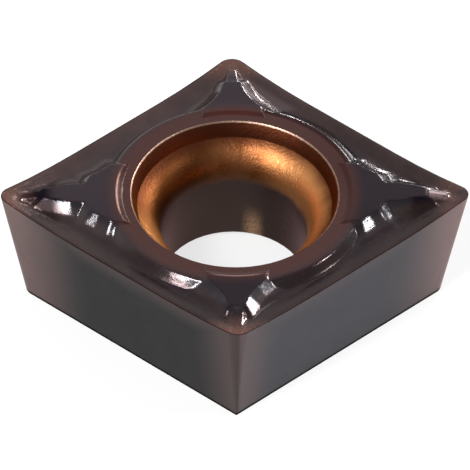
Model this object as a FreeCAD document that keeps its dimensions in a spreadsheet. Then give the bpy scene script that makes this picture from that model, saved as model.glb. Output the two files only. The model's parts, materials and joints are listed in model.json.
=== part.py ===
import FreeCAD, Part
import math
import os

import Sketcher

# Indexable turning insert: an 80 degree rhombus with relieved flanks, pressed and
# sintered from carbide powder in one piece. All lengths are in millimetres and all
# angles in degrees. The origin is the middle of the seat face, +Z is up, the two
# 80 degree corners lie on the X axis and the two 100 degree corners on the Y axis.

# Driving dimensions, one cell each.
SIZES = {
    # The relieved rhombic blank.
    "inscribed_circle": 9.525,
    "corner_angle": 80.0,
    "thickness": 3.97,
    "clearance_angle": 7.0,
    "sharp_nose_radius": 0.4,
    "blunt_seat_radius": 0.0125,
    # The cutting edge, its land and the rake face behind it.
    "edge_sag": 0.175,
    "sag_run": 2.65,
    "land_width": 0.15,
    "rake_angle": 13.0,
    "groove_depth": 0.27,
    "groove_margin": 0.45,
    "fill_depth": 0.8,
    "root_depth": 0.04,
    # The ring land round the hole.
    "ring_rise": 0.06,
    "ring_diameter": 7.74,
    "ring_wall_angle": 38.0,
    "ring_crest_blend": 0.22,
    "ring_foot_blend": 0.3,
    # The four corner plateaus, with the step up to them from the ring land.
    "plateau_rise": 0.13,
    "plateau_wall_angle": 50.0,
    "skirt_rise": 0.09,
    "skirt_angle": 70.0,
    "skirt_blend": 0.3,
    "plateau_crest_blend": 0.1,
    "step_foot_radius": 3.44,
    "step_crest_radius": 3.63,
    # Plateau of the 80 degree corner: reach along X and half width of each corner.
    "acute_tip_reach": 5.92,
    "acute_tip_half": 0.17,
    "acute_root_reach": 5.0,
    "acute_root_half": 0.39,
    "acute_neck_reach": 4.6,
    "acute_neck_half": 0.39,
    "acute_shoulder_reach": 4.42,
    "acute_shoulder_half": 0.78,
    "acute_hip_reach": 4.1,
    "acute_hip_half": 0.96,
    "acute_heel_reach": 3.8,
    "acute_heel_half": 1.25,
    # Plateau of the 100 degree corner: reach along Y and half width of each corner.
    "obtuse_tip_reach": 4.9,
    "obtuse_tip_half": 0.24,
    "obtuse_root_reach": 4.48,
    "obtuse_root_half": 0.36,
    "obtuse_shoulder_reach": 4.1,
    "obtuse_shoulder_half": 0.58,
    "obtuse_heel_reach": 3.72,
    "obtuse_heel_half": 0.9,
    # The ramp that runs down from each fingertip towards the nose.
    "ramp_drop": 0.15,
    "acute_ramp_reach": 6.6,
    "obtuse_ramp_reach": 5.62,
    "ramp_end_half": 0.1,
    "ramp_foot_half": 0.34,
    # The countersunk screw hole.
    "hole_diameter": 4.5,
    "mouth_diameter": 6.34,
    "mouth_break": 0.04,
    "seat_diameter": 6.0,
    "seat_depth": 0.5,
    "bore_height": 2.33,
    "bore_chamfer": 0.15,
    # How far a ramp's root reaches back into its plateau, and how much narrower it is.
    "ramp_lap": 0.1,
    "ramp_inset": 0.06,
    # How far inside the cutting edges the buried roots of the plateaus stop.
    "trim_inset": 0.1,
    # How far a cutting shape runs past what it cuts.
    "overrun": 1.0,
}

# Dimensions that follow from the driving ones, as formulas on the same names.
LAYOUT = {
    "inradius": "sizes.inscribed_circle / 2",
    "half_angle": "sizes.corner_angle / 2",
    "acute_reach": "inradius / sin(half_angle)",
    "obtuse_reach": "inradius / cos(half_angle)",
    # The 100 degree noses at the cutting edge: they narrow with the flanks to the seat.
    "blunt_nose_radius": "sizes.blunt_seat_radius + sizes.thickness * tan(sizes.clearance_angle)",
    # Where the straight part of a cutting edge begins, from the middle of the side.
    "acute_tangent": "(inradius - sizes.sharp_nose_radius) / tan(half_angle)",
    "obtuse_tangent": "(inradius - blunt_nose_radius) * tan(half_angle)",
    "acute_sag_end": "acute_tangent - sizes.sag_run",
    "obtuse_sag_end": "obtuse_tangent - sizes.sag_run",
    "outer_clear": "sizes.inscribed_circle",
    "acute_clear": "inradius / tan(half_angle) + sizes.overrun",
    "obtuse_clear": "inradius * tan(half_angle) + sizes.overrun",
    # Heights of the edge curve, and of the same curve carried down to the middle plane.
    "edge_low": "sizes.thickness - sizes.edge_sag",
    "rake_fall": "(inradius - sizes.land_width) * tan(sizes.rake_angle)",
    "rake_high": "sizes.thickness - rake_fall",
    "rake_low": "edge_low - rake_fall",
    "clear_height": "sizes.thickness + sizes.plateau_rise + sizes.overrun",
    "rake_x": "sin(half_angle) * cos(sizes.rake_angle)",
    "rake_y": "cos(half_angle) * cos(sizes.rake_angle)",
    "rake_z": "sin(sizes.rake_angle)",
    "plane_turn": "180 - half_angle",
    "cut_length": "(inradius + sizes.overrun) / cos(sizes.rake_angle)",
    # The groove floor, and the level below it where the island shapes begin.
    "floor_level": "sizes.thickness - sizes.groove_depth",
    "root_level": "floor_level - sizes.root_depth",
    "fill_level": "floor_level - sizes.fill_depth",
    "floor_inradius": "inradius - sizes.groove_margin",
    "floor_acute": "floor_inradius / sin(half_angle)",
    "floor_obtuse": "floor_inradius / cos(half_angle)",
    "ring_level": "sizes.thickness + sizes.ring_rise",
    "ring_radius": "sizes.ring_diameter / 2",
    "ring_root_radius": "ring_radius + (ring_level - root_level) * tan(sizes.ring_wall_angle)",
    "ring_half_turn": "(90 - sizes.ring_wall_angle) / 2",
    "ring_foot_setback": "sizes.ring_foot_blend * tan(ring_half_turn)",
    "ring_skirt_radius": "ring_root_radius + ring_foot_setback",
    "ring_foot_radius": "ring_root_radius - ring_foot_setback * sin(sizes.ring_wall_angle)",
    "ring_foot_level": "root_level + ring_foot_setback * cos(sizes.ring_wall_angle)",
    "ring_crest_setback": "sizes.ring_crest_blend * tan(ring_half_turn)",
    "ring_brow_radius": "ring_radius + ring_crest_setback * sin(sizes.ring_wall_angle)",
    "ring_brow_level": "ring_level - ring_crest_setback * cos(sizes.ring_wall_angle)",
    "ring_flat_radius": "ring_radius - ring_crest_setback",
    "plateau_level": "sizes.thickness + sizes.plateau_rise",
    "skirt_level": "floor_level + sizes.skirt_rise",
    "mesa_height": "plateau_level - skirt_level",
    "skirt_height": "skirt_level - root_level",
    "mouth_radius": "sizes.mouth_diameter / 2",
    "mouth_outer": "mouth_radius + sizes.mouth_break",
    "mouth_level": "ring_level - sizes.mouth_break",
    "seat_radius": "sizes.seat_diameter / 2",
    "seat_level": "ring_level - sizes.seat_depth",
    "hole_radius": "sizes.hole_diameter / 2",
    "chamfer_radius": "hole_radius + sizes.bore_chamfer",
    "trim_inradius": "inradius - sizes.trim_inset",
    "trim_acute": "trim_inradius / sin(half_angle)",
    "trim_obtuse": "trim_inradius / cos(half_angle)",
    "ramp_level": "plateau_level - sizes.ramp_drop",
    "acute_ramp_start": "sizes.acute_tip_reach - sizes.ramp_lap",
    "obtuse_ramp_start": "sizes.obtuse_tip_reach - sizes.ramp_lap",
    "wall_run": "mesa_height * tan(sizes.plateau_wall_angle)",
    "acute_ramp_half": "sizes.acute_tip_half - sizes.ramp_inset",
    "obtuse_ramp_half": "sizes.obtuse_tip_half - sizes.ramp_inset",
    "acute_ramp_foot": "sizes.acute_tip_half + wall_run",
    "obtuse_ramp_foot": "sizes.obtuse_tip_half + wall_run",
}

START = "start"
END = "end"
# How near two heights are when they count as the same.
TOUCH = 1e-5

doc = FreeCAD.newDocument("insert")


def fill_sheet(name, rows, prefix):
    """Make one spreadsheet: a name and a value or formula on each row."""
    sheet = doc.addObject("Spreadsheet::Sheet", name)
    for row, (alias, value) in enumerate(rows.items(), start=1):
        sheet.set(f"A{row}", alias)
        sheet.set(f"B{row}", f"{prefix}{value}")
        sheet.setAlias(f"B{row}", alias)
    return sheet


sizes = fill_sheet("sizes", SIZES, "")
layout = fill_sheet("layout", LAYOUT, "=")
doc.recompute()


def cell(alias):
    """The expression that names a cell, in whichever sheet holds it."""
    sheet = "sizes" if alias in SIZES else "layout"
    return f"{sheet}.{alias}"


def value(alias):
    """The number in a cell."""
    sheet = sizes if alias in SIZES else layout
    return float(getattr(sheet, alias))


def signed(coordinate):
    """The number of a coordinate given as a name, as minus a name, or as None for zero."""
    if coordinate is None:
        return 0.0
    if coordinate.startswith("-"):
        return -value(coordinate[1:])
    return value(coordinate)


def place_sketch(body, name, plane, lift=None):
    """A sketch flat on one of the body's own planes, raised along its normal by a cell."""
    sketch = body.newObject("Sketcher::SketchObject", name)
    sketch.AttachmentSupport = (own_plane(body, plane), [""])
    sketch.MapMode = "FlatFace"
    if lift is not None:
        sketch.setExpression(".AttachmentOffset.Base.z", lift)
    return sketch


def tie(sketch, kind, geometry, point, coordinate):
    """Hold one coordinate of a point at its cell, or on the axis where it is zero."""
    if coordinate is None:
        axis = -2 if kind == "DistanceX" else -1
        sketch.addConstraint(Sketcher.Constraint("PointOnObject", geometry, point, axis))
        return
    size = value(coordinate.lstrip("-"))
    if coordinate.startswith("-"):
        ends = (geometry, point, -1, 1)
    else:
        ends = (-1, 1, geometry, point)
    index = sketch.addConstraint(Sketcher.Constraint(kind, *ends, size))
    sketch.setExpression(f"Constraints[{index}]", cell(coordinate.lstrip("-")))


def draw_outline(sketch, corners, arcs=None):
    """A closed outline through named corners.

    arcs gives the number of each side that is an arc, and the end of it, START or END,
    at which it runs smoothly into the straight side next to it.
    """
    arcs = arcs or {}
    points = [FreeCAD.Vector(signed(x), signed(y), 0) for x, y in corners]
    count = len(points)
    for number, start in enumerate(points):
        end = points[(number + 1) % count]
        if arcs.get(number) == START:
            sketch.addGeometry(Part.Arc(start, arc_middle(points[number - 1], start, end), end))
        elif arcs.get(number) == END:
            beyond = points[(number + 2) % count]
            sketch.addGeometry(Part.Arc(start, arc_middle(beyond, end, start), end))
        else:
            sketch.addGeometry(Part.LineSegment(start, end))
    for number in range(count):
        following = (number + 1) % count
        corner = points[following]
        ends = (number, which_end(sketch, number, corner), following, which_end(sketch, following, corner))
        smooth = arcs.get(number) == END or arcs.get(following) == START
        sketch.addConstraint(Sketcher.Constraint("Tangent" if smooth else "Coincident", *ends))
    for number, (x, y) in enumerate(corners):
        point = which_end(sketch, number, points[number])
        tie(sketch, "DistanceX", number, point, x)
        tie(sketch, "DistanceY", number, point, y)


def arc_middle(before, joint, far):
    """The middle of the arc that leaves a joint in line with the side before it."""
    along = joint - before
    chord = far - joint
    turn = math.atan2(along.x * chord.y - along.y * chord.x, along.dot(chord)) / 2
    heading = math.atan2(along.y, along.x) + turn
    reach = chord.Length / (2 * math.cos(turn))
    return joint + FreeCAD.Vector(math.cos(heading), math.sin(heading), 0) * reach


def which_end(sketch, number, point):
    """Which end of a line or arc, 1 or 2, lies at a point."""
    first = sketch.getPoint(number, 1)
    second = sketch.getPoint(number, 2)
    return 1 if first.distanceToPoint(point) <= second.distanceToPoint(point) else 2


def faces_where(feature, wanted):
    """The names of a feature's faces for which wanted is true."""
    return [f"Face{n}" for n, face in enumerate(feature.Shape.Faces, start=1) if wanted(face)]


def edges_where(feature, wanted):
    """The names of a feature's edges for which wanted is true."""
    return [f"Edge{n}" for n, edge in enumerate(feature.Shape.Edges, start=1) if wanted(edge)]


def spans(shape, low, high):
    """Whether an edge or face runs from one height to another."""
    box = shape.BoundBox
    return abs(box.ZMin - low) < TOUCH and abs(box.ZMax - high) < TOUCH


def blend(body, name, size, wanted):
    """Round the edges of the body so far for which wanted is true."""
    doc.recompute()
    base = body.Tip
    fillet = body.newObject("PartDesign::Fillet", name)
    fillet.Base = (base, edges_where(base, wanted))
    fillet.setExpression("Radius", cell(size))
    return fillet


def make_blank(body):
    """The blank: a rhombic prism whose sides all lean in below the cutting edges. The
    100 degree noses are rounded before, so they lean too and narrow almost to a point
    at the seat, and the 80 degree noses are rounded evenly after."""
    sketch = place_sketch(body, "edge_outline", "XY")
    corners = (
        ("acute_reach", None),
        (None, "obtuse_reach"),
        ("-acute_reach", None),
        (None, "-obtuse_reach"),
    )
    draw_outline(sketch, corners)
    pad = body.newObject("PartDesign::Pad", "prism")
    pad.Profile = sketch
    pad.setExpression("Length", "sizes.thickness")
    doc.recompute()
    top = value("thickness")
    noses = blend(
        body, "blunt_noses", "blunt_nose_radius",
        lambda edge: spans(edge, 0.0, top) and abs(edge.CenterOfMass.x) < TOUCH)
    doc.recompute()
    sides = body.newObject("PartDesign::Draft", "relief")
    sides.Base = (noses, faces_where(noses, lambda face: spans(face, 0.0, top)))
    sides.NeutralPlane = (noses, faces_where(noses, lambda face: spans(face, top, top)))
    sides.Reversed = True
    sides.setExpression("Angle", "sizes.clearance_angle")
    return blend(
        body, "sharp_noses", "sharp_nose_radius",
        lambda edge: spans(edge, 0.0, top) and abs(edge.CenterOfMass.y) < TOUCH)


def edge_curve_sketch(body, name, high, low):
    """The sagging edge curve, drawn on the upright plane through the middle that is
    parallel to one side; the region above it is what a cutter takes away."""
    sketch = place_sketch(body, name, "XZ")
    sketch.AttachmentOffset = FreeCAD.Placement(
        FreeCAD.Vector(0, 0, 0), FreeCAD.Rotation(FreeCAD.Vector(0, 1, 0), value("plane_turn")))
    sketch.setExpression(".AttachmentOffset.Rotation.Angle", "layout.plane_turn * 1 deg")
    corners = (
        ("-acute_clear", high),
        ("-acute_tangent", high),
        ("-acute_sag_end", low),
        ("obtuse_sag_end", low),
        ("obtuse_tangent", high),
        ("obtuse_clear", high),
        ("obtuse_clear", "clear_height"),
        ("-acute_clear", "clear_height"),
    )
    draw_outline(sketch, corners, arcs={1: END, 3: START})
    return sketch


def make_quarter(body):
    """Keep the quarter between the two diagonals whose side was cut."""
    keep = place_sketch(body, "quarter_outline", "XY")
    corners = (
        ("-outer_clear", "-outer_clear"),
        ("outer_clear", "-outer_clear"),
        ("outer_clear", None),
        (None, None),
        (None, "outer_clear"),
        ("-outer_clear", "outer_clear"),
    )
    draw_outline(keep, corners)
    cut = body.newObject("PartDesign::Pocket", "quarter")
    cut.Profile = keep
    cut.Type = "ThroughAll"
    cut.Midplane = True
    return cut


def make_edge_cut(body):
    """The level cut down to the sagging cutting edge and its narrow land."""
    sketch = edge_curve_sketch(body, "edge_curve", "thickness", "edge_low")
    cut = body.newObject("PartDesign::Pocket", "edge_land")
    cut.Profile = sketch
    cut.Type = "Length"
    cut.setExpression("Length", "layout.cut_length")
    cut.Reversed = True
    return cut


def make_rake_cut(body):
    """The rake face, falling inwards from behind the land."""
    sketch = edge_curve_sketch(body, "rake_curve", "rake_high", "rake_low")
    cut = body.newObject("PartDesign::Pocket", "rake_face")
    cut.Profile = sketch
    cut.Type = "Length"
    cut.setExpression("Length", "layout.cut_length")
    cut.UseCustomVector = True
    cut.AlongSketchNormal = False
    cut.Direction = FreeCAD.Vector(value("rake_x"), value("rake_y"), value("rake_z"))
    for axis in ("x", "y", "z"):
        cut.setExpression(f"Direction.{axis}", f"layout.rake_{axis}")
    return cut


def make_groove_floor(body):
    """The level floor that the rake face runs out on."""
    sketch = place_sketch(body, "floor_outline", "XY", "layout.fill_level")
    draw_outline(sketch, ((None, None), ("floor_acute", None), (None, "floor_obtuse")))
    pad = body.newObject("PartDesign::Pad", "groove_floor")
    pad.Profile = sketch
    pad.setExpression("Length", "sizes.fill_depth")
    return pad


def own_plane(body, plane):
    """One of the body's own origin planes, found by its role."""
    return [f for f in body.Origin.OriginFeatures if f.Role == f"{plane}_Plane"][0]


def mirror(body, name, plane):
    """Reflect the whole body so far in an upright middle plane."""
    copy = body.newObject("PartDesign::Mirrored", name)
    copy.TransformMode = "Whole shape"
    copy.MirrorPlane = (own_plane(body, plane), [""])
    body.Tip = copy
    return copy


def turned(body, kind, name, corners, arcs=None):
    """A profile in the XZ plane turned once round the hole's axis."""
    sketch = place_sketch(body, name + "_profile", "XZ")
    draw_outline(sketch, corners, arcs)
    feature = body.newObject(kind, name)
    feature.Profile = sketch
    feature.ReferenceAxis = (sketch, ["V_Axis"])
    feature.Angle = 360
    return feature


def make_ring(body):
    """The raised land round the hole: flat top, sloping wall, rounded crest and foot."""
    corners = (
        (None, "root_level"),
        ("ring_skirt_radius", "root_level"),
        ("ring_foot_radius", "ring_foot_level"),
        ("ring_brow_radius", "ring_brow_level"),
        ("ring_flat_radius", "ring_level"),
        (None, "ring_level"),
    )
    return turned(body, "PartDesign::Revolution", "ring_land", corners, arcs={1: END, 3: START})


def plateau_corners(points, inner):
    """The closed outline of a plateau from its corners on one side of the diagonal."""
    far = list(points)
    near = [(reach, "-" + half) for reach, half in reversed(points)]
    heel = points[-1][1]
    return tuple(far + [(inner, heel), (inner, "-" + heel)] + near)


def make_plateau(corner, stations, along_x):
    """One corner plateau: its top outline drafted down to a waist, and from there a
    flatter skirt into the groove floor, with the waist and the crests rounded."""
    body = doc.addObject("PartDesign::Body", f"{corner}_plateau")
    corners = plateau_corners(outline_names(corner, stations), "mouth_radius")
    if not along_x:
        corners = swapped(corners)
    sketch = place_sketch(body, f"{corner}_outline", "XY", "layout.plateau_level")
    draw_outline(sketch, corners)
    mesa = flare(body, f"{corner}_mesa", sketch, "layout.mesa_height", "sizes.plateau_wall_angle")
    mesa.Reversed = True
    doc.recompute()
    crest = value("plateau_level")
    waist = value("skirt_level")
    base = faces_where(mesa, lambda face: spans(face, waist, waist))
    flare(body, f"{corner}_skirt", (mesa, base), "layout.skirt_height", "sizes.skirt_angle")
    blend(body, f"{corner}_waist", "skirt_blend", lambda edge: spans(edge, waist, waist))
    blend(body, f"{corner}_crests", "plateau_crest_blend", lambda edge: spans(edge, crest, crest))
    trim_roots(body, corner, along_x)
    doc.recompute()
    return body


def trim_roots(body, corner, along_x):
    """Cut off what a plateau's buried root would reach past the flanks."""
    apex, wing = ("trim_acute", "trim_obtuse") if along_x else ("trim_obtuse", "trim_acute")
    corners = (
        (apex, None),
        (None, wing),
        (None, "outer_clear"),
        ("outer_clear", "outer_clear"),
        ("outer_clear", "-outer_clear"),
        (None, "-outer_clear"),
        (None, "-" + wing),
    )
    sketch = place_sketch(body, f"{corner}_surroundings", "XY")
    draw_outline(sketch, corners if along_x else swapped(corners))
    cut = body.newObject("PartDesign::Pocket", f"{corner}_trim")
    cut.Profile = sketch
    cut.Type = "ThroughAll"
    cut.Midplane = True


def swapped(corners):
    """The same corners with X and Y exchanged."""
    return tuple((y, x) for x, y in corners)


def flare(body, name, profile, depth, angle):
    """A block that goes down from a profile and widens on the way."""
    pad = body.newObject("PartDesign::Pad", name)
    pad.Profile = profile
    pad.setExpression("Length", depth)
    pad.setExpression("TaperAngle", angle)
    return pad


def draw_ridge(sketch, half, crest, foot_half):
    """The cross section of a ramp: a flat crest on two sloping sides."""
    corners = (
        ("-" + foot_half, "root_level"),
        (foot_half, "root_level"),
        (half, crest),
        ("-" + half, crest),
    )
    draw_outline(sketch, corners)


def make_ramp(corner, plane, sign):
    """The ramp from a fingertip down towards the nose: a ridge with sloping sides."""
    body = doc.addObject("PartDesign::Body", f"{corner}_ramp")
    root = place_sketch(body, f"{corner}_ramp_root", plane, f"{sign}layout.{corner}_ramp_start")
    draw_ridge(root, f"{corner}_ramp_half", "plateau_level", f"{corner}_ramp_foot")
    end = place_sketch(body, f"{corner}_ramp_end", plane, f"{sign}sizes.{corner}_ramp_reach")
    draw_ridge(end, "ramp_end_half", "ramp_level", "ramp_foot_half")
    loft = body.newObject("PartDesign::AdditiveLoft", f"{corner}_ridge")
    loft.Profile = root
    loft.Sections = [end]
    loft.Ruled = True
    doc.recompute()
    return body


def join(body, name, pieces):
    """Fuse other bodies into this one."""
    fusion = body.newObject("PartDesign::Boolean", name)
    fusion.Type = "Fuse"
    fusion.setObjects(pieces)
    return fusion


def make_step(body):
    """The cut that levels the ring land and leaves the sloping step up to the plateaus."""
    corners = (
        (None, "ring_level"),
        ("step_foot_radius", "ring_level"),
        ("step_crest_radius", "plateau_level"),
        ("step_crest_radius", "clear_height"),
        (None, "clear_height"),
    )
    return turned(body, "PartDesign::Groove", "ring_step", corners)


def make_hole(body):
    """The screw hole: broken rim, steep mouth, curved seat, bore and bottom chamfer."""
    corners = (
        (None, "-overrun"),
        ("chamfer_radius", "-overrun"),
        ("chamfer_radius", None),
        ("hole_radius", "bore_chamfer"),
        ("hole_radius", "bore_height"),
        ("seat_radius", "seat_level"),
        ("mouth_radius", "mouth_level"),
        ("mouth_outer", "ring_level"),
        ("mouth_outer", "clear_height"),
        (None, "clear_height"),
    )
    return turned(body, "PartDesign::Groove", "screw_hole", corners, arcs={4: START})


def outline_names(corner, stations):
    """The names of a plateau's reach and half width at each station."""
    return tuple((f"{corner}_{station}_reach", f"{corner}_{station}_half") for station in stations)


def finish(feature):
    """Merge the faces that run on from each other and bring the document up to date."""
    feature.Refine = True
    doc.recompute()


def make_insert():
    """The whole insert as one body."""
    body = doc.addObject("PartDesign::Body", "insert_body")
    body.Label = "insert_body"
    for step in (make_blank, make_edge_cut, make_rake_cut, make_groove_floor, make_ring):
        finish(step(body))
    islands = [
        make_plateau("acute", ("tip", "root", "neck", "shoulder", "hip", "heel"), True),
        make_plateau("obtuse", ("tip", "root", "shoulder", "heel"), False),
        make_ramp("acute", "YZ", ""),
        make_ramp("obtuse", "XZ", "-"),
    ]
    finish(join(body, "islands", islands))
    finish(make_quarter(body))
    finish(mirror(body, "front_and_rear", "XZ"))
    finish(mirror(body, "left_and_right", "YZ"))
    finish(make_step(body))
    finish(make_hole(body))
    body.Placement = FreeCAD.Placement()
    return body


def check_document():
    """Stop if any object failed to build."""
    for item in doc.Objects:
        if "Invalid" in item.State or "Error" in item.State:
            raise RuntimeError(f"{item.Name} did not build: {item.State}")


def write_parts(parts):
    """Write each sub-part's solid to a file named after its label."""
    doc.recompute()
    check_document()
    os.makedirs("parts", exist_ok=True)
    for part in parts:
        shape = part.Shape
        if shape.isNull() or not shape.isValid() or len(shape.Solids) != 1:
            raise RuntimeError(f"{part.Label} is not one valid solid")
    for part in parts:
        part.Shape.exportStep(f"parts/{part.Label}.step")
        print(part.Label, "volume", round(part.Shape.Volume, 3), "box", part.Shape.BoundBox)


write_parts([make_insert()])
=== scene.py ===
"""Looks of a coated carbide turning insert, photographed on a white sweep."""
import json
import logging
import math
from collections.abc import Callable
from dataclasses import dataclass
from enum import Enum
from typing import Protocol

import bpy
from mathutils import Matrix, Vector

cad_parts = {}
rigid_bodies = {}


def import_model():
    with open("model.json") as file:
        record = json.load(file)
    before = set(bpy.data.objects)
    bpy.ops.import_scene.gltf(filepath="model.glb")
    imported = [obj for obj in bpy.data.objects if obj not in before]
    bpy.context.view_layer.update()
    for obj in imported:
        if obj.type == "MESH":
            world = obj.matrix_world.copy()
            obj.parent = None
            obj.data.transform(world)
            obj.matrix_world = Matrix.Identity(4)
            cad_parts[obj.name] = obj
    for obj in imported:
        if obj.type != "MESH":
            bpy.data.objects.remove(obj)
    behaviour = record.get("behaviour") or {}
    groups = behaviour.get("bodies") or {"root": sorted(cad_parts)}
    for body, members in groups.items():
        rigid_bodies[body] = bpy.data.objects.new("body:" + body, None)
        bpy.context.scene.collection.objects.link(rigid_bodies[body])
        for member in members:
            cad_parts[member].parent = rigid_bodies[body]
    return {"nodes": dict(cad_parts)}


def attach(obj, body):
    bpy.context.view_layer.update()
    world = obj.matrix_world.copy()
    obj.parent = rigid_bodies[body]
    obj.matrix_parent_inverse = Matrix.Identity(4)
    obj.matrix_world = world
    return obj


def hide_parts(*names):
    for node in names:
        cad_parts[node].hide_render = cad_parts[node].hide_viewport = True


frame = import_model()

LOG = logging.getLogger("insert")
Socket = bpy.types.NodeSocket
Colour = tuple[float, float, float, float]
Signal = Socket | float | Colour
MM = 0.001
FRAME_PIXELS = 470.0
SENSOR_MM = 36.0
WHITE: Colour = (1.0, 1.0, 1.0, 1.0)


@dataclass(frozen=True)
class StudioCamera:
    """The camera, as fitted to the reference view of the insert."""

    azimuth_deg: float = -1.394
    elevation_deg: float = 44.762
    roll_deg: float = 0.738
    distance_mm: float = 278.33
    focal_pixels: float = 9016.4
    aim_height_mm: float = 1.985
    right_offset_mm: float = -0.025
    up_offset_mm: float = -0.176
    nearest_mm: float = 10.0
    farthest_mm: float = 100000.0

    def axes(self) -> tuple[Vector, Vector, Vector]:
        """Right, up and backward directions of the camera.

        Returns:
            Three unit vectors in the frame's axes.
        """
        azimuth = math.radians(self.azimuth_deg)
        elevation = math.radians(self.elevation_deg)
        back = Vector((
            math.sin(azimuth) * math.cos(elevation),
            -math.cos(azimuth) * math.cos(elevation),
            math.sin(elevation),
        ))
        right = (-back).cross(Vector((0, 0, 1))).normalized()
        up = right.cross(-back)
        roll = math.radians(self.roll_deg)
        rolled_right = math.cos(roll) * right + math.sin(roll) * up
        rolled_up = -math.sin(roll) * right + math.cos(roll) * up
        return rolled_right, rolled_up, back

    def build(self) -> None:
        """Create the camera and make it the scene's own."""
        right, up, back = self.axes()
        place = Vector((0, 0, self.aim_height_mm))
        place += back * self.distance_mm
        place -= right * self.right_offset_mm + up * self.up_offset_mm
        data = bpy.data.cameras.new("studio_camera")
        data.sensor_width = SENSOR_MM
        data.lens = self.focal_pixels / FRAME_PIXELS * SENSOR_MM
        data.clip_start = self.nearest_mm * MM
        data.clip_end = self.farthest_mm * MM
        camera = bpy.data.objects.new("studio_camera", data)
        turn = Matrix((right, up, back)).transposed().to_4x4()
        camera.matrix_world = Matrix.Translation(place * MM) @ turn
        bpy.context.scene.collection.objects.link(camera)
        bpy.context.scene.camera = camera


@dataclass(frozen=True)
class SoftBox:
    """One soft rectangular lamp that faces the insert."""

    name: str
    direction: tuple[float, float, float]
    distance_mm: float
    width_mm: float
    height_mm: float
    watts: float

    def build(self) -> None:
        """Create the lamp at its place, turned to the insert."""
        data = bpy.data.lights.new(self.name, "AREA")
        data.shape = "RECTANGLE"
        data.size = self.width_mm * MM
        data.size_y = self.height_mm * MM
        data.energy = self.watts
        lamp = bpy.data.objects.new(self.name, data)
        place = Vector(self.direction).normalized() * self.distance_mm * MM
        turn = place.to_track_quat("Z", "Y").to_matrix().to_4x4()
        lamp.matrix_world = Matrix.Translation(place) @ turn
        bpy.context.scene.collection.objects.link(lamp)


class Mix(Enum):
    """What a Mix node blends, with the numbers of its two inputs and its result."""

    NUMBER = ("FLOAT", 2, 3, 0)
    COLOUR = ("RGBA", 6, 7, 2)


class NodeMaterial:
    """A material under construction, with short calls for its nodes."""

    def __init__(self, name: str) -> None:
        """Start an empty node tree.

        Args:
            name: the material's name.
        """
        self.material = bpy.data.materials.new(name)
        self.material.use_nodes = True
        self.tree = self.material.node_tree
        self.tree.nodes.clear()
        self.output = self.add("OutputMaterial")

    def add(self, kind: str, **settings: object) -> bpy.types.Node:
        """Add a node.

        Args:
            kind: the node's type name without its ShaderNode prefix.
            settings: properties of the node.

        Returns:
            The new node.
        """
        node = self.tree.nodes.new("ShaderNode" + kind)
        for key, value in settings.items():
            setattr(node, key, value)
        return node

    def feed(self, target: Socket, source: Signal) -> None:
        """Give an input its signal.

        Args:
            target: the input socket.
            source: an output socket to join, or the constant to set.
        """
        if isinstance(source, bpy.types.NodeSocket):
            self.tree.links.new(source, target)
        else:
            target.default_value = source

    def math(self, operation: str, *signals: Signal) -> Socket:
        """One sum on one or more signals, taken two at a time.

        Args:
            operation: the name of the sum.
            signals: its operands.

        Returns:
            The result's socket.
        """
        result, *others = signals
        for other in others or [0.0]:
            node = self.add("Math", operation=operation)
            self.feed(node.inputs[0], result)
            self.feed(node.inputs[1], other)
            result = node.outputs[0]
        return result

    def rise(self, signal: Signal, start: float, end: float) -> Socket:
        """A soft step of a signal.

        Args:
            signal: the signal that is looked at.
            start: its value where the step is 0.
            end: its value where the step is 1, may be less than start.

        Returns:
            The step's socket.
        """
        node = self.add("MapRange", interpolation_type="SMOOTHSTEP")
        turned = end < start
        self.feed(node.inputs["Value"], signal)
        node.inputs["From Min"].default_value = min(start, end)
        node.inputs["From Max"].default_value = max(start, end)
        node.inputs["To Min"].default_value = 1.0 if turned else 0.0
        node.inputs["To Max"].default_value = 0.0 if turned else 1.0
        return node.outputs["Result"]

    def noise(self, place: Socket, scale: float, detail: float, sharpness: float) -> Socket:
        """Cloudy variation over the surface.

        Args:
            place: the coordinates in millimetres.
            scale: how many blots fit in a millimetre.
            detail: how many finer layers are added.
            sharpness: how strong the finer layers are.

        Returns:
            The socket of the cloud's value, about 0.5 on average.
        """
        node = self.add("TexNoise")
        self.feed(node.inputs["Vector"], place)
        node.inputs["Scale"].default_value = scale
        node.inputs["Detail"].default_value = detail
        node.inputs["Roughness"].default_value = sharpness
        return node.outputs["Fac"]

    def mix(self, kind: Mix, factor: Signal, below: Signal, above: Signal) -> Socket:
        """A number or colour between two.

        Args:
            kind: what is blended.
            factor: 0 for the first, 1 for the second.
            below: the first.
            above: the second.

        Returns:
            The result's socket.
        """
        data_type, first, second, result = kind.value
        node = self.add("Mix", data_type=data_type)
        self.feed(node.inputs["Factor"], factor)
        self.feed(node.inputs[first], below)
        self.feed(node.inputs[second], above)
        return node.outputs[result]


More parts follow.
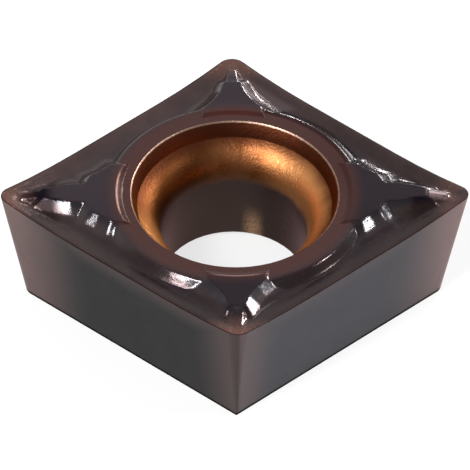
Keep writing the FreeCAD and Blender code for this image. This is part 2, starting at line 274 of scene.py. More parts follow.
@dataclass(frozen=True)
class SweepFinish:
    """The plain white card that the insert lies on."""

    colour: Colour = (0.92, 0.92, 0.92, 1.0)
    roughness: float = 0.9
    white_share: float = 0.74

    def build(self) -> bpy.types.Material:
        """Make the card's material, lifted towards plain white but with its shadow.

        Returns:
            The finished material.
        """
        paper = NodeMaterial("white_sweep")
        shader = paper.add("BsdfPrincipled")
        shader.inputs["Base Color"].default_value = self.colour
        shader.inputs["Roughness"].default_value = self.roughness
        shader.inputs["Specular IOR Level"].default_value = 0.0
        white = paper.add("Emission")
        white.inputs["Color"].default_value = WHITE
        white.inputs["Strength"].default_value = 1.0
        rays = paper.add("LightPath").outputs
        seen = paper.math(
            "MAXIMUM",
            rays["Is Camera Ray"],
            rays["Is Glossy Ray"],
            rays["Is Transmission Ray"],
        )
        card = paper.add("MixShader")
        paper.feed(card.inputs["Fac"], paper.math("MULTIPLY", seen, self.white_share))
        paper.feed(card.inputs[1], shader.outputs["BSDF"])
        paper.feed(card.inputs[2], white.outputs["Emission"])
        paper.feed(paper.output.inputs["Surface"], card.outputs["Shader"])
        return paper.material


@dataclass(frozen=True)
class Studio:
    """The floor, the lamps and the surroundings."""

    camera: StudioCamera = StudioCamera()
    floor_mm: float = 3000.0
    front_level: float = 0.24
    rear_level: float = 0.54
    front_heading: float = -0.35
    rear_heading: float = 0.45
    lamps: tuple[SoftBox, ...] = (
        SoftBox("front_box", (-0.43, -0.46, 0.77), 160.0, 54.0, 36.0, 0.19),
        SoftBox("left_box", (-0.60, -0.58, 0.54), 150.0, 17.0, 22.0, 0.09),
        SoftBox("right_box", (0.80, 0.50, 0.33), 150.0, 44.0, 40.0, 0.17),
        SoftBox("rear_box", (0.40, 0.89, 0.22), 150.0, 20.0, 20.0, 0.05),
        SoftBox("far_box", (0.18, 0.97, 0.12), 150.0, 10.0, 10.0, 0.02),
        SoftBox("ramp_box", (0.32, 0.705, 0.63), 150.0, 34.0, 30.0, 0.018),
        SoftBox("spark_box", (0.80, -0.12, 0.58), 150.0, 11.0, 11.0, 0.045),
    )

    def build(self) -> None:
        """Make the studio round the insert."""
        self.camera.build()
        for lamp in self.lamps:
            lamp.build()
        self.build_floor()
        self.build_world()
        bpy.context.scene.view_settings.view_transform = "Standard"
        LOG.info("studio: %d lamps", len(self.lamps))

    def build_floor(self) -> None:
        """Lay the card under the insert."""
        bpy.ops.object.select_all(action="DESELECT")
        bpy.ops.mesh.primitive_plane_add(size=self.floor_mm * MM, location=(0, 0, 0))
        floor = bpy.context.active_object
        floor.name = "white_sweep"
        floor.data.materials.append(SweepFinish().build())

    def build_world(self) -> None:
        """Give the surroundings a pale light, dimmer on the side of the camera."""
        world = bpy.data.worlds.new("studio_world")
        bpy.context.scene.world = world
        world.use_nodes = True
        tree = world.node_tree
        tree.nodes.clear()
        heading = tree.nodes.new("ShaderNodeTexCoord")
        parts = tree.nodes.new("ShaderNodeSeparateXYZ")
        level = tree.nodes.new("ShaderNodeMapRange")
        level.interpolation_type = "SMOOTHSTEP"
        level.inputs["From Min"].default_value = self.front_heading
        level.inputs["From Max"].default_value = self.rear_heading
        level.inputs["To Min"].default_value = self.front_level
        level.inputs["To Max"].default_value = self.rear_level
        light = tree.nodes.new("ShaderNodeBackground")
        light.inputs["Color"].default_value = WHITE
        tree.links.new(heading.outputs["Generated"], parts.inputs[0])
        tree.links.new(parts.outputs["Y"], level.inputs["Value"])
        tree.links.new(level.outputs["Result"], light.inputs["Strength"])
        output = tree.nodes.new("ShaderNodeOutputWorld")
        tree.links.new(light.outputs["Background"], output.inputs["Surface"])


@dataclass(frozen=True)
class InsertForm:
    """The insert's sizes that its finish and blends are laid out on, in millimetres."""

    inradius: float = 4.7625
    thickness: float = 3.97
    clearance_deg: float = 7.0
    half_angle_deg: float = 40.0
    sharp_radius: float = 0.4
    blunt_seat_radius: float = 0.0125
    rim_radius: float = 3.21
    bore_top: float = 2.33
    seat_top: float = 3.53
    relief_level: float = 3.6
    ring_level: float = 4.03

    @property
    def half_angle(self) -> float:
        """Half the angle of the sharper noses.

        Returns:
            The angle in radians.
        """
        return math.radians(self.half_angle_deg)

    @property
    def lean(self) -> float:
        """How far a flank leans in for each millimetre of depth.

        Returns:
            The lean in millimetres.
        """
        return math.tan(math.radians(self.clearance_deg))

    @property
    def blunt_middle(self) -> float:
        """How far the blunt noses' axes stand from the hole's.

        Returns:
            The distance in millimetres.
        """
        top_radius = self.blunt_seat_radius + self.thickness * self.lean
        return (self.inradius - top_radius) / math.cos(self.half_angle)

    @property
    def blunt_tangent(self) -> float:
        """Where the blunt noses begin along a side.

        Returns:
            The place from the side's middle, in millimetres.
        """
        return -self.blunt_middle * math.sin(self.half_angle)

    def inset(self, x: float, y: float, z: float) -> float:
        """How far a point lies inside the nearest flank or nose.

        Args:
            x: along the long diagonal.
            y: along the short diagonal.
            z: the height over the seat.

        Returns:
            The distance in millimetres.
        """
        sine, cosine = math.sin(self.half_angle), math.cos(self.half_angle)
        flank = self.inradius - (self.thickness - z) * self.lean
        along = abs(x) * cosine - abs(y) * sine
        sharp_middle = (flank - self.sharp_radius) / sine
        if along > sharp_middle * cosine:
            return self.sharp_radius - math.hypot(abs(x) - sharp_middle, y)
        if along < self.blunt_tangent:
            blunt_radius = self.blunt_seat_radius + z * self.lean
            return blunt_radius - math.hypot(x, abs(y) - self.blunt_middle)
        return flank - abs(x) * sine - abs(y) * cosine


class Part(Protocol):
    """Anything on the insert that tells its signal from where a point lies."""

    def build(self, zones: "Zones") -> Signal:
        """Make the part's nodes.

        Args:
            zones: the measures of the point.

        Returns:
            The part's signal.
        """


class At(Enum):
    """The measures of a point, in millimetres."""

    X = "to the right, along the long diagonal"
    Y = "to the rear, along the short diagonal"
    Z = "over the seat"
    REACH_X = "along the long diagonal, to either side"
    REACH_Y = "along the short diagonal, to either side"
    RADIUS = "from the hole's axis"
    ALONG = "along the nearest side, from its middle to its sharper nose"
    INSET = "inside the nearest flank or nose"

    def build(self, zones: "Zones") -> Socket:
        """Take the measure from the zones.

        Args:
            zones: the measures of the point.

        Returns:
            The measure's socket.
        """
        return zones.measures[self]


@dataclass(frozen=True)
class Noise:
    """Cloudy variation: its blots in a millimetre, its finer layers and their strength."""

    per_mm: float
    layers: float
    sharpness: float

    def build(self, zones: "Zones") -> Socket:
        """Make the cloud's nodes.

        Args:
            zones: the measures of the point.

        Returns:
            The socket of the cloud's value.
        """
        return zones.coat.noise(zones.place, self.per_mm, self.layers, self.sharpness)


@dataclass(frozen=True)
class Rise:
    """A soft step of a part, from 0 where the part is at start to 1 where it is at end."""

    of: Part
    start: float
    end: float

    def build(self, zones: "Zones") -> Socket:
        """Make the step's nodes.

        Args:
            zones: the measures of the point.

        Returns:
            The step's socket.
        """
        return zones.coat.rise(zones.signal(self.of), self.start, self.end)


@dataclass(frozen=True)
class Sum:
    """Parts and constants joined by one operation."""

    operation: str
    parts: tuple[Part | float, ...]

    def build(self, zones: "Zones") -> Socket:
        """Make the sum's nodes.

        Args:
            zones: the measures of the point.

        Returns:
            The result's socket.
        """
        return zones.coat.math(self.operation, *map(zones.signal, self.parts))


@dataclass(frozen=True)
class Between:
    """A number that goes from low to high as its mask goes from 0 to 1."""

    mask: Part
    low: Part | float
    high: Part | float

    def build(self, zones: "Zones") -> Socket:
        """Make the number's nodes.

        Args:
            zones: the measures of the point.

        Returns:
            The number's socket.
        """
        signals = map(zones.signal, (self.mask, self.low, self.high))
        return zones.coat.mix(Mix.NUMBER, *signals)


@dataclass(frozen=True)
class Tint:
    """A ground colour with others laid over it in turn, each within its mask."""

    ground: "Tint | Colour"
    coats: tuple[tuple[Part, "Tint | Colour"], ...]

    def build(self, zones: "Zones") -> Signal:
        """Make the colour's nodes.

        Args:
            zones: the measures of the point.

        Returns:
            The colour's signal.
        """
        result = zones.signal(self.ground)
        for mask, colour in self.coats:
            result = zones.coat.mix(Mix.COLOUR, zones.signal(mask), result, zones.signal(colour))
        return result


def both(*parts: Part | float) -> Sum:
    """The product of masks and shares: a mask where all of them are.

    Args:
        parts: the factors.

    Returns:
        The product.
    """
    return Sum("MULTIPLY", parts)


def either(*parts: Part | float) -> Sum:
    """The strongest of several masks.

    Args:
        parts: the masks.

    Returns:
        The mask where any of them is.
    """
    return Sum("MAXIMUM", parts)


def total(*parts: Part | float) -> Sum:
    """Parts added up.

    Args:
        parts: the parts.

    Returns:
        Their total.
    """
    return Sum("ADD", parts)


def gap(first: Part | float, second: Part | float) -> Sum:
    """How far two parts are apart.

    Args:
        first: one part.
        second: the other part.

    Returns:
        The size of their difference.
    """
    return Sum("ABSOLUTE", (Sum("SUBTRACT", (first, second)),))


class Side(Enum):
    """Where an island lies: the flat direction from the hole's middle to it."""

    LEFT = (-1.0, 0.0)
    FRONT = (0.0, -1.0)
    REAR = (0.0, 1.0)

    @property
    def ahead(self) -> Sum:
        """How far a point lies from the hole's middle towards the side's island.

        Returns:
            The signed distance.
        """
        x_share, y_share = self.value
        return total(both(At.X, x_share), both(At.Y, y_share))

    @property
    def beside(self) -> Sum:
        """How far a point lies beside the line from the hole's middle to the island.

        Returns:
            The distance.
        """
        x_share, y_share = self.value
        return gap(both(At.X, y_share), both(At.Y, x_share))


class Zones:
    """The measures of a point on the insert, and the signals made from them."""

    def __init__(self, coat: NodeMaterial, form: InsertForm) -> None:
        """Make the measures.

        Args:
            coat: the material they are made in.
            form: the insert's sizes.
        """
        self.coat = coat
        self.made: dict[Part, Signal] = {}
        self.place = self.millimetres()
        split = coat.add("SeparateXYZ")
        coat.feed(split.inputs[0], self.place)
        x, y, z = split.outputs
        self.measures = {
            At.X: x,
            At.Y: y,
            At.Z: z,
            At.REACH_X: coat.math("ABSOLUTE", x),
            At.REACH_Y: coat.math("ABSOLUTE", y),
            At.RADIUS: self.length(x, y),
        }
        cosine, sine = math.cos(form.half_angle), math.sin(form.half_angle)
        self.measures[At.ALONG] = self.diagonal(cosine, -sine)
        self.measures[At.INSET] = self.edge_inset(form, cosine, sine)

    def signal(self, part: Part | float | Colour) -> Signal:
        """The signal of a part, whose nodes are made once.

        Args:
            part: the part, or a constant, which is its own signal.

        Returns:
            The part's socket, or the constant.
        """
        if isinstance(part, (float, tuple)):
            return part
        if part not in self.made:
            self.made[part] = part.build(self)
        return self.made[part]

    def millimetres(self) -> Socket:
        """The place on the insert.

        Returns:
            The place's socket, in millimetres.
        """
        scaled = self.coat.add("VectorMath", operation="SCALE")
        self.coat.feed(scaled.inputs[0], self.coat.add("TexCoord").outputs["Object"])
        scaled.inputs["Scale"].default_value = 1.0 / MM
        return scaled.outputs["Vector"]

    def length(self, first: Signal, second: Signal) -> Socket:
        """The length of a flat vector.

        Args:
            first: its part along one axis.
            second: its part along the other.

        Returns:
            The length's socket.
        """
        squares = [self.coat.math("MULTIPLY", part, part) for part in (first, second)]
        return self.coat.math("SQRT", self.coat.math("ADD", *squares))

    def diagonal(self, x_share: float, y_share: float) -> Socket:
        """The reaches along both diagonals, weighed and added.

        Args:
            x_share: the weight of the reach along the long diagonal.
            y_share: the weight of the reach along the short diagonal.

        Returns:
            The sum's socket.
        """
        return self.coat.math(
            "ADD",
            self.coat.math("MULTIPLY", self.measures[At.REACH_X], x_share),
            self.coat.math("MULTIPLY", self.measures[At.REACH_Y], y_share),
        )

    def edge_inset(self, form: InsertForm, cosine: float, sine: float) -> Socket:
        """How far a point lies inside the nearest flank or nose, as the form's inset says.

        Args:
            form: the insert's sizes.
            cosine: the cosine of half the sharper noses' angle.
            sine: the sine of that half angle.

        Returns:
            The distance's socket.
        """
        sums = self.coat.math
        x, y = self.measures[At.X], self.measures[At.Y]
        reach_x, reach_y = self.measures[At.REACH_X], self.measures[At.REACH_Y]
        along = self.measures[At.ALONG]
        depth = sums("MULTIPLY", self.measures[At.Z], form.lean)
        flank = sums("ADD", depth, form.inradius - form.thickness * form.lean)
        in_flank = sums("SUBTRACT", flank, self.diagonal(sine, cosine))
        middle = sums("MULTIPLY", sums("SUBTRACT", flank, form.sharp_radius), 1.0 / sine)
        from_sharp = self.length(sums("SUBTRACT", reach_x, middle), y)
        in_sharp = sums("SUBTRACT", form.sharp_radius, from_sharp)
        at_sharp = sums("GREATER_THAN", along, sums("MULTIPLY", middle, cosine))
        blunt_radius = sums("ADD", depth, form.blunt_seat_radius)
        from_blunt = self.length(x, sums("SUBTRACT", reach_y, form.blunt_middle))
        in_blunt = sums("SUBTRACT", blunt_radius, from_blunt)
        at_blunt = sums("LESS_THAN", along, form.blunt_tangent)
        inset = self.coat.mix(Mix.NUMBER, at_sharp, in_flank, in_sharp)
        return self.coat.mix(Mix.NUMBER, at_blunt, inset, in_blunt)


FORM = InsertForm()
# Painted shade for the dark lines along edges: the honed cutting edge, the flanks' foot and the
# front of the hole's rim.
EDGE_SHADE: Colour = (0.008, 0.004, 0.004, 1.0)
RIM_FADE = 0.01
GRAIN = Noise(16.0, 4.0, 0.6)
CLOUD = Noise(1.1, 4.0, 0.6)
IN_HOLE = both(
    Rise(At.RADIUS, FORM.rim_radius + RIM_FADE, FORM.rim_radius - RIM_FADE),
    Rise(At.Z, 0.0, 0.2),
)
ON_FLANK = Rise(At.INSET, 0.02, 0.008)
ON_EDGE = Rise(At.INSET, 0.055, 0.03)
AT_FOOT = Rise(At.Z, 0.15, 0.06)
AT_NOSE = either(Rise(At.REACH_X, 6.0, 6.95), Rise(At.REACH_Y, 5.1, 5.9))
# Painted light: the flanks to the right and rear are lit copies, lighter and glossier than the
# left front one.
LIT_RIGHT_REAR = either(Rise(At.X, 0.0, 0.16), Rise(At.Y, 0.2, 1.0))
TO_FRONT = Rise(At.Y, 0.5, -3.5)
# Painted shade: the front and right of the pressed top are darkened in colour and dulled in
# gloss.
SHADE_FRONT_RIGHT = either(
    both(TO_FRONT, 0.8),
    both(Rise(At.X, 1.0, 4.0), Between(TO_FRONT, 0.65, 1.0)),
)


@dataclass(frozen=True)
class PaintedCrestLine:
    """A line painted along the step's crest: painted highlights on the left and front islands, a
    painted dark band of shade at the rear one.
    """

    side: Side
    radius: float
    half_width: float
    fade: float
    half_length: float
    strength: float
    colour: Colour
    end_fade: float = 0.5
    near_end: float = 2.9
    far_end: float = 3.2

    @property
    def mask(self) -> Sum:
        """How strongly the line shows.

        Returns:
            Its strength, 0 off the line.
        """
        off_line = gap(At.RADIUS, self.radius)
        return both(
            Rise(off_line, self.half_width + self.fade, self.half_width),
            Rise(self.side.beside, self.half_length + self.end_fade, self.half_length),
            Rise(self.side.ahead, self.near_end, self.far_end),
            self.strength,
        )


@dataclass(frozen=True)
class TopColours:
    """The pressed top: brown-grey rake faces, near black islands, a brown ring."""

    rake: Colour = (0.017, 0.0095, 0.0095, 1.0)
    rake_light: Colour = (0.028, 0.016, 0.0145, 1.0)
    rake_shade: Colour = (0.0085, 0.0062, 0.0072, 1.0)
    groove_shade: Colour = (0.007, 0.005, 0.008, 1.0)
    island: Colour = (0.005, 0.0035, 0.006, 1.0)
    ring: Colour = (0.030, 0.011, 0.0095, 1.0)
    nose: Colour = (0.090, 0.037, 0.025, 1.0)
    speck: Colour = (0.34, 0.22, 0.16, 1.0)
    ramp_highlight: Colour = (0.17, 0.115, 0.115, 1.0)
    light_cloud: Part = Rise(CLOUD, 0.35, 0.7)
    light_grain: Part = both(Rise(GRAIN, 0.46, 0.72), 0.45)
    # Painted shade over the front and right rake faces.
    shaded: Part = both(SHADE_FRONT_RIGHT, 0.85)
    # Painted shade in the groove at the foot of the island walls.
    in_groove: Part = both(Rise(At.Z, 3.80, 3.70), Rise(At.INSET, 0.35, 0.8), 0.75)
    on_island: Part = both(Rise(At.Z, 3.9, 4.06), Rise(At.RADIUS, 3.60, 3.70))
    on_ring: Part = both(Rise(At.RADIUS, 4.05, 3.55), Rise(At.Z, 3.9, 4.0))
    near_edge: Part = both(Rise(At.INSET, 0.35, 0.0), 0.12)
    warm_cloud: Part = Rise(CLOUD, 0.2, 0.6)
    warm_share: float = 0.8
    specks: Part = both(Rise(Noise(19.0, 1.0, 0.5), 0.67, 0.76), Rise(At.Z, 3.5, 3.6))
    stray_specks: float = 0.05
    # Painted highlight: a light patch on the right nose's ramp.
    on_lit_ramp: Part = both(
        Rise(At.X, 5.93, 6.02),
        Rise(At.X, 6.62, 6.45),
        Rise(At.Y, -0.22, -0.12),
        Rise(At.Y, 0.32, 0.24),
        Rise(GRAIN, 0.25, 0.5),
        0.8,
    )
    # Painted shade: a thin dark line along the honed cutting edge.
    edge_shade_line: Part = both(ON_EDGE, 0.9)
    # Painted highlights along the left and front crests, and a painted dark band of shade along
    # the rear one.
    crest_lines: tuple[PaintedCrestLine, ...] = (
        PaintedCrestLine(Side.LEFT, 3.64, 0.010, 0.025, 0.60, 0.95, (0.36, 0.185, 0.14, 1.0)),
        PaintedCrestLine(Side.FRONT, 3.64, 0.010, 0.025, 0.42, 0.60, (0.28, 0.175, 0.16, 1.0)),
        PaintedCrestLine(Side.REAR, 3.52, 0.040, 0.120, 0.40, 0.40, (0.055, 0.010, 0.008, 1.0)),
    )

    @property
    def tint(self) -> Tint:
        """The colour of the pressed top.

        Returns:
            The top's tint.
        """
        warm = both(either(AT_NOSE, self.near_edge), self.warm_cloud)
        return Tint(self.rake, (
            (self.light_cloud, self.rake_light),
            (self.shaded, self.rake_shade),
            (self.light_grain, self.rake_light),
            (self.in_groove, self.groove_shade),
            (self.on_island, self.island),
            (self.on_ring, self.ring),
            (both(warm, self.warm_share), self.nose),
            (both(self.specks, either(warm, self.stray_specks)), self.speck),
            *((crest_line.mask, crest_line.colour) for crest_line in self.crest_lines),
            (self.on_lit_ramp, self.ramp_highlight),
            (self.edge_shade_line, EDGE_SHADE),
        ))


@dataclass(frozen=True)
class FlankColours:
    """The flanks: grey, with painted shade on the left front one, warmer towards the corners and
    the cutting edge.
    """

    # Painted shade: the left front flank is darker than the lit right and rear flanks.
    left: Colour = (0.0045, 0.0046, 0.0054, 1.0)
    right: Colour = (0.0235, 0.0228, 0.0295, 1.0)
    warm: Colour = (0.115, 0.075, 0.070, 1.0)
    warm_right: Colour = (0.200, 0.122, 0.115, 1.0)
    sharp_end: Part = Rise(At.ALONG, 2.0, 5.6)
    blunt_end: Part = both(Rise(At.ALONG, -2.0, -3.7), Between(LIT_RIGHT_REAR, 0.34, 0.60))
    upper: Part = both(Rise(At.Z, 3.0, 3.9), 0.26)
    clouded: Part = Between(CLOUD, 0.7, 1.2)
    mottle: Part = both(Rise(GRAIN, 0.35, 0.8), 0.06)
    far_right: Part = Rise(At.X, 5.0, 6.9)
    # Painted contact shadow along the flanks' foot.
    foot_shadow: Part = both(AT_FOOT, 0.9)

    @property
    def tint(self) -> Tint:
        """The colour of the flanks.

        Returns:
            The flanks' tint.
        """
        ends = either(self.sharp_end, self.blunt_end, self.upper)
        return Tint(self.left, (
            (LIT_RIGHT_REAR, self.right),
            (
                total(both(ends, self.clouded), self.mottle),
                Tint(self.warm, ((self.far_right, self.warm_right),)),
            ),
            (self.foot_shadow, EDGE_SHADE),
        ))


@dataclass(frozen=True)
class HoleColours:
    """The hole: a copper seat with painted shade and painted highlights round it, its steep
    mouth wall darkened as painted shade, the bore below, and the rim with a painted highlight
    away from its front.
    """

    copper: Colour = (0.27, 0.103, 0.040, 1.0)
    copper_deep: Colour = (0.135, 0.041, 0.009, 1.0)
    copper_shade: Colour = (0.085, 0.026, 0.007, 1.0)
    copper_highlight: Colour = (0.84, 0.370, 0.135, 1.0)
    mouth: Colour = (0.088, 0.023, 0.010, 1.0)
    bore: Colour = (0.043, 0.029, 0.024, 1.0)
    bore_shade: Colour = (0.019, 0.013, 0.011, 1.0)
    bore_reflection: Colour = (0.34, 0.205, 0.115, 1.0)
    # Painted highlight along the hole's rim, except at its front.
    rim: Colour = (0.36, 0.235, 0.18, 1.0)
    height: Part = total(At.Z, both(CLOUD, 0.25))
    deep_cloud: Part = Rise(CLOUD, 0.3, 0.7)
    copper_grain: Part = Rise(GRAIN, 0.5, 0.8)
    # Painted shade on the left of the seat, deepest towards its rear.
    shade_left: Part = both(Rise(At.X, -0.4, -1.8), 0.95)
    umber_shade_left: Part = both(
        Rise(At.X, -0.4, -1.5),
        Rise(At.Y, -1.0, 0.5),
        Between(Rise(CLOUD, 0.35, 0.65), 1.0, 0.7),
    )
    # Painted highlight: a golden reflection on the right of the seat and at its two front ends.
    golden_highlight: Part = either(
        both(Rise(At.Y, 0.2, -1.2), Rise(At.REACH_X, 1.8, 2.5), 0.5),
        Rise(At.X, 0.5, 2.6),
    )
    # Painted shade down the steep mouth wall under the rim.
    in_mouth_shade: Part = Rise(height, FORM.seat_top - 0.22, FORM.seat_top + 0.22)
    in_bore: Part = Rise(height, FORM.bore_top + 0.55, FORM.bore_top + 0.05)
    # Painted shade on the right of the bore.
    bore_right: Part = Rise(At.X, 0.3, 1.4)
    # Painted reflection: a golden vertical streak on the rear wall of the bore.
    in_bore_reflection: Part = both(
        Rise(gap(At.X, 0.62), 0.42, 0.02),
        Rise(At.Y, 0.0, 1.0),
        Rise(height, 1.6, 0.5),
        Rise(GRAIN, 0.2, 0.6),
        0.8,
    )
    # The rim gets painted edge shade at its front and a painted highlight elsewhere.
    on_rim: Part = Rise(At.Z, FORM.ring_level - 0.045, FORM.ring_level - 0.03)
    lit_rim: Part = Rise(At.Y, -2.7, -1.8)

    @property
    def tint(self) -> Tint:
        """The colour of the hole's walls.

        Returns:
            The walls' tint.
        """
        return Tint(self.copper, (
            (self.deep_cloud, self.copper_deep),
            (self.copper_grain, self.copper),
            (self.shade_left, self.copper_deep),
            (self.umber_shade_left, self.copper_shade),
            (self.golden_highlight, self.copper_highlight),
            (self.in_mouth_shade, self.mouth),
            (self.in_bore, Tint(self.bore, (
                (self.bore_right, self.bore_shade),
                (self.in_bore_reflection, self.bore_reflection),
            ))),
            (self.on_rim, Tint(EDGE_SHADE, ((self.lit_rim, self.rim),))),
        ))


@dataclass(frozen=True)
class Glaze:
    """The tint of the coating's mirror light: warm on the rake and ring, cool elsewhere."""

    rake: Colour = (1.0, 0.76, 0.76, 1.0)
    ring: Colour = (0.95, 0.57, 0.53, 1.0)
    island: Colour = (0.98, 0.74, 0.80, 1.0)
    wall: Colour = (0.97, 0.94, 1.0, 1.0)
    flank: Colour = (0.94, 0.87, 1.0, 1.0)
    hole: Colour = (1.0, 0.72, 0.44, 1.0)
    on_ring: Part = both(Rise(At.RADIUS, 3.9, 3.82), Rise(At.Z, 3.9, 4.0))
    on_island: Part = both(Rise(At.Z, 3.86, 4.05), Rise(At.RADIUS, 3.5, 4.0))
    on_wall: Part = both(
        Rise(At.INSET, 0.8, 1.1),
        Rise(At.RADIUS, 3.75, 3.95),
        Rise(At.Z, 3.71, 3.77),
        Rise(At.Z, 4.085, 4.065),
    )
    above_bore: Part = Rise(At.Z, FORM.bore_top + 0.2, FORM.bore_top + 0.6)

    @property
    def tint(self) -> Tint:
        """The tint over the whole insert.

        Returns:
            The mirror light's tint.
        """
        return Tint(self.rake, (
            (self.on_ring, self.ring),
            (self.on_island, self.island),
            (self.on_wall, self.wall),
            (ON_FLANK, self.flank),
            (both(IN_HOLE, self.above_bore), self.hole),
        ))


@dataclass(frozen=True)
class Gloss:
    """How strongly the coating mirrors: less on the flanks than on the top."""

    full: float = 0.5
    dulled: float = 0.20
    muted_share: float = 0.05
    lit_extra: float = 0.5
    flank_sheen: Part = Between(LIT_RIGHT_REAR, 0.07, 0.14)
    below_crests: Part = Rise(At.Z, 4.095, 4.08)
    dull: Part = either(
        Rise(At.Z, 4.07, 4.09),
        Rise(At.INSET, 1.0, 0.8),
        both(Rise(At.RADIUS, 4.2, 4.1), Rise(At.Z, 4.02, 3.98), Rise(At.X, -0.4, 0.4)),
        both(Rise(At.RADIUS, 3.64, 3.58), Rise(At.Y, -1.0, 1.0)),
    )
    on_ramp: Part = both(Rise(At.REACH_Y, 0.30, 0.20), Rise(At.REACH_X, 5.75, 5.9))
    tip_wall: Part = both(
        either(
            both(Rise(At.REACH_X, 5.20, 5.65), Rise(At.REACH_Y, 0.18, 0.28)),
            Rise(At.X, -5.4, -5.9),
        ),
        Rise(At.INSET, 0.42, 0.58),
    )
    step_wall: Part = both(
        Rise(At.RADIUS, 3.66, 3.63),
        Rise(At.Z, 4.035, 4.05),
        Rise(At.Z, 4.096, 4.09),
        0.55,
    )
    behind_right: Part = both(
        Rise(At.X, 0.5, 1.0),
        Rise(At.Y, 0.1, 0.4),
        either(
            both(Rise(At.RADIUS, 4.3, 4.2), Rise(At.RADIUS, 3.6, 3.7), 0.88),
            both(Rise(At.X, 4.60, 4.75), Rise(At.INSET, 0.72, 0.85), 0.92),
        ),
        below_crests,
    )
    lit_wall: Part = both(
        Rise(At.Y, 3.9, 4.1),
        Rise(At.X, 0.1, 0.25),
        Rise(At.INSET, 0.3, 0.5),
        below_crests,
    )

    @property
    def level(self) -> Between:
        """How strongly the coating mirrors over the whole insert.

        Returns:
            The gloss.
        """
        off_nose = Between(either(self.on_ramp, AT_NOSE), 1.0, 0.0)
        # The painted shade on the front and right also dulls the mirror there.
        clear = Between(both(SHADE_FRONT_RIGHT, self.dull, off_nose), self.full, self.dulled)
        muted = either(self.tip_wall, self.step_wall, ON_EDGE, self.behind_right)
        top = total(
            both(clear, Between(muted, 1.0, self.muted_share)),
            both(self.lit_wall, self.lit_extra),
        )
        return Between(ON_FLANK, top, Between(AT_FOOT, self.flank_sheen, 0.0))


@dataclass(frozen=True)
class SinteredTexture:
    """How rough the surface is, and its fine relief."""

    top: Part = Between(Rise(At.Z, 3.75, 4.05), 0.20, 0.13)
    flank: float = 0.42
    hole: float = 0.40
    cloudy: Part = both(total(CLOUD, -0.5), 0.12)
    grain: Part = Noise(22.0, 2.0, 0.6)
    seat: Part = both(Noise(13.0, 3.0, 0.7), IN_HOLE, 1.6)
    ripple: Part = both(Noise(6.5, 1.0, 0.5), 1.3)
    waves: Part = both(Noise(2.4, 2.0, 0.5), 1.2)
    depth: Part = Between(IN_HOLE, 0.55, 0.9)
    depth_mm: float = 0.004

    @property
    def roughness(self) -> Sum:
        """Glossier on the islands, satin on the flanks and in the hole.

        Returns:
            The roughness.
        """
        outside = Between(ON_FLANK, self.top, self.flank)
        return total(Between(IN_HOLE, outside, self.hole), self.cloudy)

    def normal(self, zones: Zones) -> Socket:
        """The direction of the surface: fine grain, coarser in the seat, on faint waves.

        Args:
            zones: the measures of the point.

        Returns:
            The direction's socket.
        """
        bump = zones.coat.add("Bump")
        bump.inputs["Distance"].default_value = self.depth_mm * MM
        height = total(total(self.grain, self.seat), total(self.ripple, self.waves))
        zones.coat.feed(bump.inputs["Strength"], zones.signal(self.depth))
        zones.coat.feed(bump.inputs["Height"], zones.signal(height))
        return bump.outputs["Normal"]


@dataclass(frozen=True)
class CoatedCarbide:
    """The coating of the whole insert."""

    ior: float = 1.72
    hole_metallic: float = 0.93
    top: TopColours = TopColours()
    flank: FlankColours = FlankColours()
    hole: HoleColours = HoleColours()
    glaze: Glaze = Glaze()
    gloss: Gloss = Gloss()
    texture: SinteredTexture = SinteredTexture()

    def build(self) -> bpy.types.Material:
        """Make the coating's material.

        Returns:
            The finished material.
        """
        coat = NodeMaterial("coated_carbide")
        zones = Zones(coat, FORM)
        shader = coat.add("BsdfPrincipled")
        shader.inputs["IOR"].default_value = self.ior
        looks = {
            "Base Color": Tint(self.top.tint, (
                (ON_FLANK, self.flank.tint),
                (IN_HOLE, self.hole.tint),
            )),
            "Metallic": both(IN_HOLE, self.hole_metallic),
            "Roughness": self.texture.roughness,
            "Specular IOR Level": self.gloss.level,
            "Specular Tint": self.glaze.tint,
        }
        for name, look in looks.items():
            coat.feed(shader.inputs[name], zones.signal(look))
        coat.feed(shader.inputs["Normal"], self.texture.normal(zones))
        coat.feed(coat.output.inputs["Surface"], shader.outputs["BSDF"])
        LOG.info("coated_carbide: %d nodes", len(coat.tree.nodes))
        return coat.material


@dataclass(frozen=True)
class SurfaceFinish:
    """How finely the insert's surface is worked, in millimetres and degrees."""

    merge: float = 0.005
    flat_deg: float = 0.4
    rim_margin: float = 0.06
    land: float = 0.10
    touch: float = 0.004
    mesh_size: float = 0.11
    refine_rounds: int = 5
    refine_cuts: int = 1
    beauty_deg: float = 4.0
    soften_share: float = 0.5
    soften_rounds: int = 2
    crisp_radius: float = 3.72
    hone: float = 0.022
    hone_steps: int = 3
    smooth_deg: float = 38.0


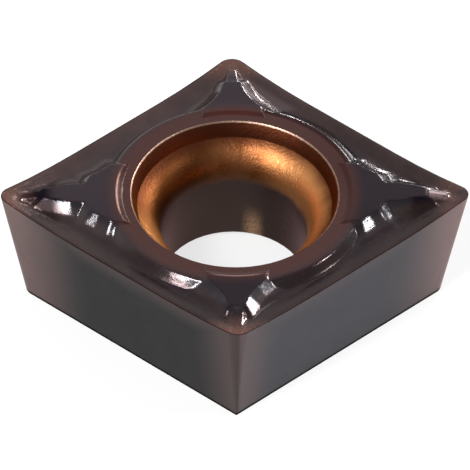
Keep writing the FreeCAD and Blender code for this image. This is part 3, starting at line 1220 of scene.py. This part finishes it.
class Insert:
    """The insert as it is shown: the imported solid's form, merged, softened and honed."""

    def __init__(self, node: bpy.types.Object, form: InsertForm, finish: SurfaceFinish) -> None:
        """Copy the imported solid.

        Args:
            node: the solid's object in the frame.
            form: the insert's sizes.
            finish: how finely its surface is worked.
        """
        self.form = form
        self.finish = finish
        self.piece = self.copy(node)

    def copy(self, node: bpy.types.Object) -> bpy.types.Object:
        """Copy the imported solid, which itself stays as it is.

        Args:
            node: the solid's object in the frame.

        Returns:
            The copy.
        """
        bpy.ops.object.select_all(action="DESELECT")
        node.select_set(True)
        bpy.context.view_layer.objects.active = node
        bpy.ops.object.duplicate(linked=False)
        piece = bpy.context.active_object
        piece.name = "coated_insert"
        return piece

    def build(self) -> None:
        """Work the copy and let it stand for the solid."""
        self.merge()
        self.refine()
        self.soften()
        self.hone()
        self.shade()
        self.piece.data.materials.clear()
        self.piece.data.materials.append(CoatedCarbide().build())
        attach(self.piece, "root")
        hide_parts("insert_body")
        LOG.info("insert_body: %d faces", len(self.piece.data.polygons))

    def merge(self) -> None:
        """Join the copy's loose facets, and flat ones into whole faces."""
        bpy.ops.object.mode_set(mode="EDIT")
        bpy.ops.mesh.customdata_custom_splitnormals_clear()
        bpy.ops.mesh.select_all(action="SELECT")
        bpy.ops.mesh.remove_doubles(threshold=self.finish.merge * MM)
        bpy.ops.mesh.dissolve_limited(angle_limit=math.radians(self.finish.flat_deg))
        bpy.ops.object.mode_set(mode="OBJECT")

    def in_relief(self, place: Vector) -> bool:
        """Whether a point lies on the pressed top, between the hole's rim and the edge's land.

        Args:
            place: the point in the frame's axes.

        Returns:
            True if it does.
        """
        x, y, z = (coordinate / MM for coordinate in place)
        clear_of_rim = math.hypot(x, y) > self.form.rim_radius + self.finish.rim_margin
        clear_of_edge = self.form.inset(x, y, z) > self.finish.land
        return z > self.form.relief_level and clear_of_rim and clear_of_edge

    def in_soft_relief(self, place: Vector) -> bool:
        """Whether a point of the pressed top lies outside the crisp step round the ring.

        Args:
            place: the point in the frame's axes.

        Returns:
            True if it does.
        """
        return self.in_relief(place) and place.xy.length > self.finish.crisp_radius * MM

    def on_cutting_edge(self, place: Vector) -> bool:
        """Whether a point lies on a cutting edge.

        Args:
            place: the point in the frame's axes.

        Returns:
            True if it does.
        """
        x, y, z = (coordinate / MM for coordinate in place)
        return z > self.form.relief_level and self.form.inset(x, y, z) < self.finish.touch

    def ends(self, edge: bpy.types.MeshEdge) -> tuple[Vector, Vector]:
        """Where an edge's two ends lie.

        Args:
            edge: the edge.

        Returns:
            The places of its ends.
        """
        vertices = self.piece.data.vertices
        return vertices[edge.vertices[0]].co, vertices[edge.vertices[1]].co

    def is_long(self, edge: bpy.types.MeshEdge) -> bool:
        """Whether an edge of the pressed top is longer than its mesh should be.

        Args:
            edge: the edge.

        Returns:
            True if it is.
        """
        start, end = self.ends(edge)
        if (start - end).length < self.finish.mesh_size * MM:
            return False
        return self.in_relief(start) and self.in_relief(end)

    def select_edges(self, wanted: Callable[[bpy.types.MeshEdge], bool]) -> int:
        """Select only the edges for which wanted is true, and stay in edit mode.

        Args:
            wanted: the test on one edge.

        Returns:
            How many edges are selected.
        """
        bpy.ops.object.mode_set(mode="EDIT")
        bpy.ops.mesh.select_mode(type="EDGE")
        bpy.ops.mesh.select_all(action="DESELECT")
        bpy.ops.object.mode_set(mode="OBJECT")
        count = 0
        for edge in self.piece.data.edges:
            edge.select = wanted(edge)
            count += edge.select
        bpy.ops.object.mode_set(mode="EDIT")
        return count

    def select_between(self, wanted: Callable[[Vector], bool]) -> None:
        """Select only the edges whose two ends lie where they should.

        Args:
            wanted: the test on the place of one end.
        """
        self.select_edges(lambda edge: all(map(wanted, self.ends(edge))))

    def refine(self) -> None:
        """Divide the pressed top's facets until they are small and even."""
        for _ in range(self.finish.refine_rounds):
            if not self.select_edges(self.is_long):
                break
            bpy.ops.mesh.subdivide(number_cuts=self.finish.refine_cuts)
            self.select_between(self.in_relief)
            bpy.ops.mesh.quads_convert_to_tris(
                quad_method="SHORTEST_DIAGONAL",
                ngon_method="BEAUTY",
            )
            bpy.ops.mesh.beautify_fill(angle_limit=math.radians(self.finish.beauty_deg))
        bpy.ops.object.mode_set(mode="OBJECT")
        LOG.info("pressed top refined: %d faces", len(self.piece.data.polygons))

    def soften(self) -> None:
        """Round the pressed top's crests and corners as the punch leaves them."""
        self.select_between(self.in_soft_relief)
        bpy.ops.mesh.vertices_smooth(
            factor=self.finish.soften_share,
            repeat=self.finish.soften_rounds,
        )
        bpy.ops.object.mode_set(mode="OBJECT")

    def hone(self) -> None:
        """Round the cutting edges a little, as honing and coating leave them."""
        self.select_between(self.on_cutting_edge)
        bpy.ops.mesh.bevel(
            offset=self.finish.hone * MM,
            segments=self.finish.hone_steps,
            clamp_overlap=False,
        )
        bpy.ops.object.mode_set(mode="OBJECT")

    def shade(self) -> None:
        """Shade smoothly over the blends and sharply over the edges."""
        bpy.ops.object.shade_smooth_by_angle(angle=math.radians(self.finish.smooth_deg))
        bpy.ops.object.modifier_add(type="WEIGHTED_NORMAL")
        weighted = self.piece.modifiers[-1]
        weighted.keep_sharp = True
        bpy.ops.object.modifier_apply(modifier=weighted.name)


def main() -> None:
    """Build the studio and the insert, which log their numbers of lamps and faces."""
    logging.basicConfig(level=logging.INFO)
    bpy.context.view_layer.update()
    Insert(frame["nodes"]["insert_body"], FORM, SurfaceFinish()).build()
    Studio().build()


if __name__ == "__main__":
    main()
